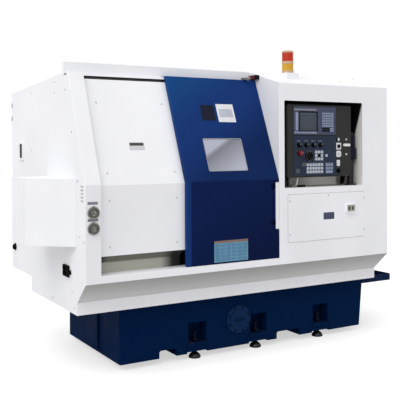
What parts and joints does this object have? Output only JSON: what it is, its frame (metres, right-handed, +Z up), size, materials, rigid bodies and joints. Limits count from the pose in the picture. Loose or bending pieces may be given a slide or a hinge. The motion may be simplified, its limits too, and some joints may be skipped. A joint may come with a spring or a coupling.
{
  "type": "cnc turning lathe",
  "caption": "Enclosed slant-bed turning lathe with a sliding front door, a swivelling operator pendant, a signal beacon and levelling feet.",
  "frame": {"origin": "on the floor, under the middle of the overall box", "axes": "+X along the front to the operator's right, +Y from the front towards the back, +Z up"},
  "size_m": [2.98, 1.56, 2.16],
  "materials": {
    "white_paint": "smooth semi-gloss",
    "blue_paint": "smooth gloss",
    "navy_paint": "semi-gloss over casting",
    "beige_paint": "fine texture",
    "charcoal_paint": "fine texture",
    "navy_plastic": "fine texture",
    "black_plastic": "satin",
    "window_glass": "tinted laminated",
    "machined_steel": "ground",
    "grey_iron": "painted casting",
    "zinc_steel": "plated",
    "red_plastic": "gloss",
    "red_lens": "clear ribbed",
    "amber_lens": "clear ribbed",
    "white_plastic": "satin",
    "dark_steel": "satin"
  },
  "bodies": {
    "machine": {"base_casting": "navy_paint", "clean_out_cover": "navy_paint", "levelling_feet": "zinc_steel", "drip_tray": "navy_paint", "floor_pan": "beige_paint", "toe_panel_left": "beige_paint", "toe_panel_right": "beige_paint", "front_frame": "white_paint", "fixed_front_panel": "white_paint", "recess_panel": "beige_paint", "left_wall": "white_paint", "flush_pull": "black_plastic", "cable_inlet": "black_plastic", "spindle_end_cover": "white_paint", "rear_wall": "white_paint", "right_wall": "white_paint", "main_roof": "white_paint", "control_cabinet": "white_paint", "pendant_recess": "charcoal_paint", "access_cover": "white_paint", "service_socket": "black_plastic", "pendant_post": "dark_steel", "beacon_box": "white_paint", "beacon_body": "white_plastic", "beacon_amber_lens": "amber_lens", "beacon_red_lens": "red_lens", "gauge_cases": "dark_steel", "door_switch": "black_plastic", "slant_bed": "grey_iron", "headstock": "grey_iron", "chamber_liner": "zinc_steel"},
    "door": {"door_shell": "blue_paint", "door_window": "window_glass", "door_handle": "black_plastic"},
    "pendant": {"pendant_housing": "charcoal_paint", "display_unit": "navy_plastic", "control_panel": "navy_plastic", "pendant_lead": "white_plastic"},
    "emergency_stop_body": {"emergency_stop": "red_plastic"},
    "power_button_body": {"power_button": "white_plastic"},
    "cycle_start_button_body": {"cycle_start_button": "white_plastic"},
    "override_knob_1_body": {"override_knob_1": "black_plastic"},
    "override_knob_2_body": {"override_knob_2": "black_plastic"},
    "override_knob_3_body": {"override_knob_3": "black_plastic"},
    "override_knob_4_body": {"override_knob_4": "black_plastic"},
    "mode_knob_body": {"mode_knob": "black_plastic"},
    "key_switch_body": {"key_switch": "machined_steel"},
    "lock_switch_body": {"lock_switch": "machined_steel"},
    "handwheel_body": {"handwheel": "black_plastic"},
    "gauge_needle_upper_body": {"gauge_needle_upper": "black_plastic"},
    "gauge_needle_lower_body": {"gauge_needle_lower": "black_plastic"},
    "spindle_chuck_body": {"spindle_chuck": "machined_steel"},
    "chuck_jaw_1_body": {"chuck_jaw_1": "machined_steel"},
    "chuck_jaw_2_body": {"chuck_jaw_2": "machined_steel"},
    "chuck_jaw_3_body": {"chuck_jaw_3": "machined_steel"},
    "carriage_body": {"carriage": "grey_iron"},
    "cross_slide_body": {"cross_slide": "grey_iron"},
    "turret_disc_body": {"turret_disc": "machined_steel"},
    "tailstock_body": {"tailstock": "grey_iron"},
    "quill_body": {"quill": "machined_steel"}
  },
  "joints": [
    {"name": "door_slide", "type": "slide", "parent": "machine", "child": "door", "axis": [-1, 0, 0], "range_m": [0, 0.575]},
    {"name": "pendant_swivel", "type": "hinge", "parent": "machine", "child": "pendant", "pos_m": [0.907, -0.68, 1.351], "axis": [0, 0, 1], "range_deg": [0, 60]},
    {"name": "emergency_stop_push", "type": "slide", "parent": "pendant", "child": "emergency_stop_body", "axis": [0, 1, 0], "range_m": [0, 0.005]},
    {"name": "power_button_push", "type": "slide", "parent": "pendant", "child": "power_button_body", "axis": [0, 1, 0], "range_m": [0, 0.003], "stiffness_N_per_m": 300},
    {"name": "cycle_start_push", "type": "slide", "parent": "pendant", "child": "cycle_start_button_body", "axis": [0, 1, 0], "range_m": [0, 0.003], "stiffness_N_per_m": 300},
    {"name": "override_knob_1_turn", "type": "hinge", "parent": "pendant", "child": "override_knob_1_body", "pos_m": [0.373, -0.75, 1.463], "axis": [0, 1, 0], "range_deg": [-135, 135]},
    {"name": "override_knob_2_turn", "type": "hinge", "parent": "pendant", "child": "override_knob_2_body", "pos_m": [0.438, -0.75, 1.463], "axis": [0, 1, 0], "range_deg": [-135, 135]},
    {"name": "override_knob_3_turn", "type": "hinge", "parent": "pendant", "child": "override_knob_3_body", "pos_m": [0.503, -0.75, 1.463], "axis": [0, 1, 0], "range_deg": [-135, 135]},
    {"name": "override_knob_4_turn", "type": "hinge", "parent": "pendant", "child": "override_knob_4_body", "pos_m": [0.568, -0.75, 1.463], "axis": [0, 1, 0], "range_deg": [-135, 135]},
    {"name": "mode_knob_turn", "type": "hinge", "parent": "pendant", "child": "mode_knob_body", "pos_m": [0.74, -0.75, 1.275], "axis": [0, 1, 0], "range_deg": [-60, 60]},
    {"name": "key_switch_turn", "type": "hinge", "parent": "pendant", "child": "key_switch_body", "pos_m": [0.362, -0.75, 1.279], "axis": [0, 1, 0], "range_deg": [0, 90]},
    {"name": "lock_switch_turn", "type": "hinge", "parent": "pendant", "child": "lock_switch_body", "pos_m": [0.418, -0.75, 1.325], "axis": [0, 1, 0], "range_deg": [0, 90]},
    {"name": "handwheel_turn", "type": "hinge", "parent": "pendant", "child": "handwheel_body", "pos_m": [0.462, -0.75, 1.384], "axis": [0, 1, 0], "continuous": true},
    {"name": "gauge_needle_upper_turn", "type": "hinge", "parent": "machine", "child": "gauge_needle_upper_body", "pos_m": [-1.191, -0.768, 1.063], "axis": [0, 1, 0], "range_deg": [0, 270], "stiffness_Nm_per_rad": 0.002},
    {"name": "gauge_needle_lower_turn", "type": "hinge", "parent": "machine", "child": "gauge_needle_lower_body", "pos_m": [-1.191, -0.768, 0.968], "axis": [0, 1, 0], "range_deg": [0, 270], "stiffness_Nm_per_rad": 0.002},
    {"name": "spindle_turn", "type": "hinge", "parent": "machine", "child": "spindle_chuck_body", "pos_m": [-0.843, -0.23, 1.05], "axis": [1, 0, 0], "continuous": true},
    {"name": "chuck_jaw_1_grip", "type": "slide", "parent": "spindle_chuck_body", "child": "chuck_jaw_1_body", "axis": [0, -0.7071, -0.7071], "range_m": [0, 0.005]},
    {"name": "chuck_jaw_2_grip", "type": "slide", "parent": "spindle_chuck_body", "child": "chuck_jaw_2_body", "axis": [0, 0.9659, -0.2588], "range_m": [0, 0.005]},
    {"name": "chuck_jaw_3_grip", "type": "slide", "parent": "spindle_chuck_body", "child": "chuck_jaw_3_body", "axis": [0, -0.2588, 0.9659], "range_m": [0, 0.005]},
    {"name": "carriage_feed", "type": "slide", "parent": "machine", "child": "carriage_body", "axis": [-1, 0, 0], "range_m": [0, 0.3]},
    {"name": "cross_feed", "type": "slide", "parent": "carriage_body", "child": "cross_slide_body", "axis": [0, -0.7071, -0.7071], "range_m": [0, 0.15]},
    {"name": "turret_index", "type": "hinge", "parent": "cross_slide_body", "child": "turret_disc_body", "pos_m": [-0.063, 0.00688, 1.28688], "axis": [1, 0, 0], "continuous": true},
    {"name": "tailstock_feed", "type": "slide", "parent": "machine", "child": "tailstock_body", "axis": [-1, 0, 0], "range_m": [0, 0.1]},
    {"name": "quill_feed", "type": "slide", "parent": "tailstock_body", "child": "quill_body", "axis": [-1, 0, 0], "range_m": [0, 0.08]}
  ],
  "couplings": [
    {"joint": "chuck_jaw_2_grip", "follows": "chuck_jaw_1_grip", "ratio": 1},
    {"joint": "chuck_jaw_3_grip", "follows": "chuck_jaw_1_grip", "ratio": 1}
  ]
}
